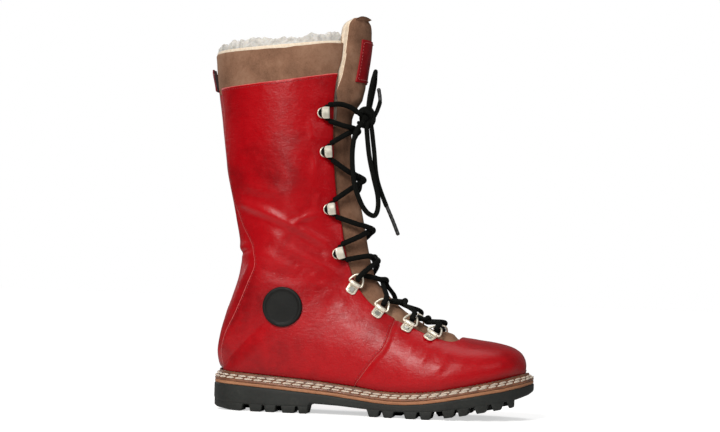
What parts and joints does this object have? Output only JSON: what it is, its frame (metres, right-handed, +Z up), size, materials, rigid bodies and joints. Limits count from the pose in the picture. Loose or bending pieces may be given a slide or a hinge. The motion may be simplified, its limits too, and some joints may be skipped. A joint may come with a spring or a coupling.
{
  "type": "cross country boot",
  "caption": "Tall lace-up winter boot with a lugged welted sole, speed hooks and D-rings, a free-topped bellows-style tongue and a fleece-lined shaft.",
  "frame": {"origin": "centre of the heel tread on the ground, under the middle of the heel", "axes": "+Z up the shaft, +X towards the toe, +Y towards the inner side of the foot (this is a right boot)"},
  "size_m": [0.2996, 0.1035, 0.353],
  "materials": {
    "red_leather": "smooth semi-gloss, fine grain",
    "tab_leather": "smooth",
    "brown_suede": "suede nap",
    "shearling": "curled pile",
    "black_rubber": "moulded matte",
    "tan_midsole": "matte",
    "brown_welt": "burnished",
    "pale_thread": "waxed cord",
    "spring_steel": "rolled",
    "pale_hardware": "satin nickel-plated",
    "black_lace": "braided cord",
    "dark_badge": "moulded",
    "fibre_board": "pressed fibre",
    "dark_tip": "shrunk film"
  },
  "bodies": {
    "boot": {"outsole": "black_rubber", "midsole": "tan_midsole", "insole_board": "fibre_board", "shank": "spring_steel", "footbed": "fibre_board", "welt": "brown_welt", "welt_stitch": "pale_thread", "vamp": "red_leather", "quarter_lateral": "red_leather", "quarter_medial": "red_leather", "back_strip": "red_leather", "collar_band": "brown_suede", "heel_counter": "fibre_board", "toe_puff": "fibre_board", "shaft_lining": "shearling", "tongue_lower": "brown_suede", "tongue_lining_lower": "shearling", "ankle_badge": "dark_badge", "hook_lateral_1": "pale_hardware", "ring_plate_lateral_1": "pale_hardware", "ring_rivet_lateral_1": "spring_steel", "hook_lateral_2": "pale_hardware", "ring_plate_lateral_2": "pale_hardware", "ring_rivet_lateral_2": "spring_steel", "hook_lateral_3": "pale_hardware", "ring_plate_lateral_3": "pale_hardware", "ring_rivet_lateral_3": "spring_steel", "hook_lateral_4": "pale_hardware", "ring_plate_lateral_4": "pale_hardware", "ring_rivet_lateral_4": "spring_steel", "hook_medial_1": "pale_hardware", "ring_plate_medial_1": "pale_hardware", "ring_rivet_medial_1": "spring_steel", "hook_medial_2": "pale_hardware", "ring_plate_medial_2": "pale_hardware", "ring_rivet_medial_2": "spring_steel", "hook_medial_3": "pale_hardware", "ring_plate_medial_3": "pale_hardware", "ring_rivet_medial_3": "spring_steel", "hook_medial_4": "pale_hardware", "ring_plate_medial_4": "pale_hardware", "ring_rivet_medial_4": "spring_steel", "lace": "black_lace"},
    "tongue_top": {"tongue_upper": "brown_suede", "tongue_lining_upper": "shearling", "tongue_patch": "tab_leather"},
    "bow_loop_top": {"bow_loop_upper": "black_lace"},
    "bow_end_top": {"lace_end_upper": "black_lace", "aglet_upper": "dark_tip"},
    "bow_loop_hanging": {"bow_loop_lower": "black_lace"},
    "bow_end_hanging": {"lace_end_lower": "black_lace", "aglet_lower": "dark_tip"},
    "ring_lateral_1": {"d_ring_lateral_1": "pale_hardware"},
    "ring_lateral_2": {"d_ring_lateral_2": "pale_hardware"},
    "ring_lateral_3": {"d_ring_lateral_3": "pale_hardware"},
    "ring_lateral_4": {"d_ring_lateral_4": "pale_hardware"},
    "ring_medial_1": {"d_ring_medial_1": "pale_hardware"},
    "ring_medial_2": {"d_ring_medial_2": "pale_hardware"},
    "ring_medial_3": {"d_ring_medial_3": "pale_hardware"},
    "ring_medial_4": {"d_ring_medial_4": "pale_hardware"}
  },
  "joints": [
    {"name": "tongue_flex", "type": "hinge", "parent": "boot", "child": "tongue_top", "pos_m": [0.072, 0, 0.28], "axis": [0, 1, 0], "range_deg": [0, 20], "stiffness_Nm_per_rad": 0.15},
    {"name": "bow_loop_top_follow", "type": "hinge", "parent": "boot", "child": "bow_loop_top", "pos_m": [0.073, -0.003, 0.2675], "axis": [0, 1, 0], "range_deg": [0, 20]},
    {"name": "bow_end_top_follow", "type": "hinge", "parent": "boot", "child": "bow_end_top", "pos_m": [0.073, -0.003, 0.2675], "axis": [0, 1, 0], "range_deg": [0, 20]},
    {"name": "bow_loop_hanging_swing", "type": "hinge", "parent": "boot", "child": "bow_loop_hanging", "pos_m": [0.073, -0.003, 0.2675], "axis": [0, 1, 0], "range_deg": [-25, 0]},
    {"name": "bow_end_hanging_swing", "type": "hinge", "parent": "boot", "child": "bow_end_hanging", "pos_m": [0.073, -0.003, 0.2675], "axis": [0, 1, 0], "range_deg": [-25, 0]},
    {"name": "d_ring_lateral_1_tilt", "type": "hinge", "parent": "boot", "child": "ring_lateral_1", "pos_m": [0.07243, -0.02846, 0.11635], "axis": [0.8431, 0.1804, -0.5066], "range_deg": [-6, 0]},
    {"name": "d_ring_lateral_2_tilt", "type": "hinge", "parent": "boot", "child": "ring_lateral_2", "pos_m": [0.0962, -0.02969, 0.09572], "axis": [0.8572, 0.0037, -0.515], "range_deg": [-6, 4]},
    {"name": "d_ring_lateral_3_tilt", "type": "hinge", "parent": "boot", "child": "ring_lateral_3", "pos_m": [0.12226, -0.02879, 0.08332], "axis": [0.9046, -0.0615, -0.4218], "range_deg": [-6, 4]},
    {"name": "d_ring_lateral_4_tilt", "type": "hinge", "parent": "boot", "child": "ring_lateral_4", "pos_m": [0.14355, -0.02863, 0.07508], "axis": [0.8437, -0.2637, -0.4676], "range_deg": [-6, 4]},
    {"name": "d_ring_medial_1_tilt", "type": "hinge", "parent": "boot", "child": "ring_medial_1", "pos_m": [0.07245, 0.02806, 0.11629], "axis": [0.8403, -0.1976, -0.5049], "range_deg": [0, 6]},
    {"name": "d_ring_medial_2_tilt", "type": "hinge", "parent": "boot", "child": "ring_medial_2", "pos_m": [0.09616, 0.0282, 0.09557], "axis": [0.8569, -0.0228, -0.5149], "range_deg": [-4, 6]},
    {"name": "d_ring_medial_3_tilt", "type": "hinge", "parent": "boot", "child": "ring_medial_3", "pos_m": [0.1222, 0.02741, 0.08322], "axis": [0.9046, 0.0619, -0.4218], "range_deg": [-4, 6]},
    {"name": "d_ring_medial_4_tilt", "type": "hinge", "parent": "boot", "child": "ring_medial_4", "pos_m": [0.1434, 0.02856, 0.07506], "axis": [0.827, 0.3255, -0.4584], "range_deg": [-4, 6]}
  ],
  "couplings": [
    {"joint": "bow_loop_top_follow", "follows": "tongue_flex", "ratio": 1},
    {"joint": "bow_end_top_follow", "follows": "tongue_flex", "ratio": 1}
  ]
}
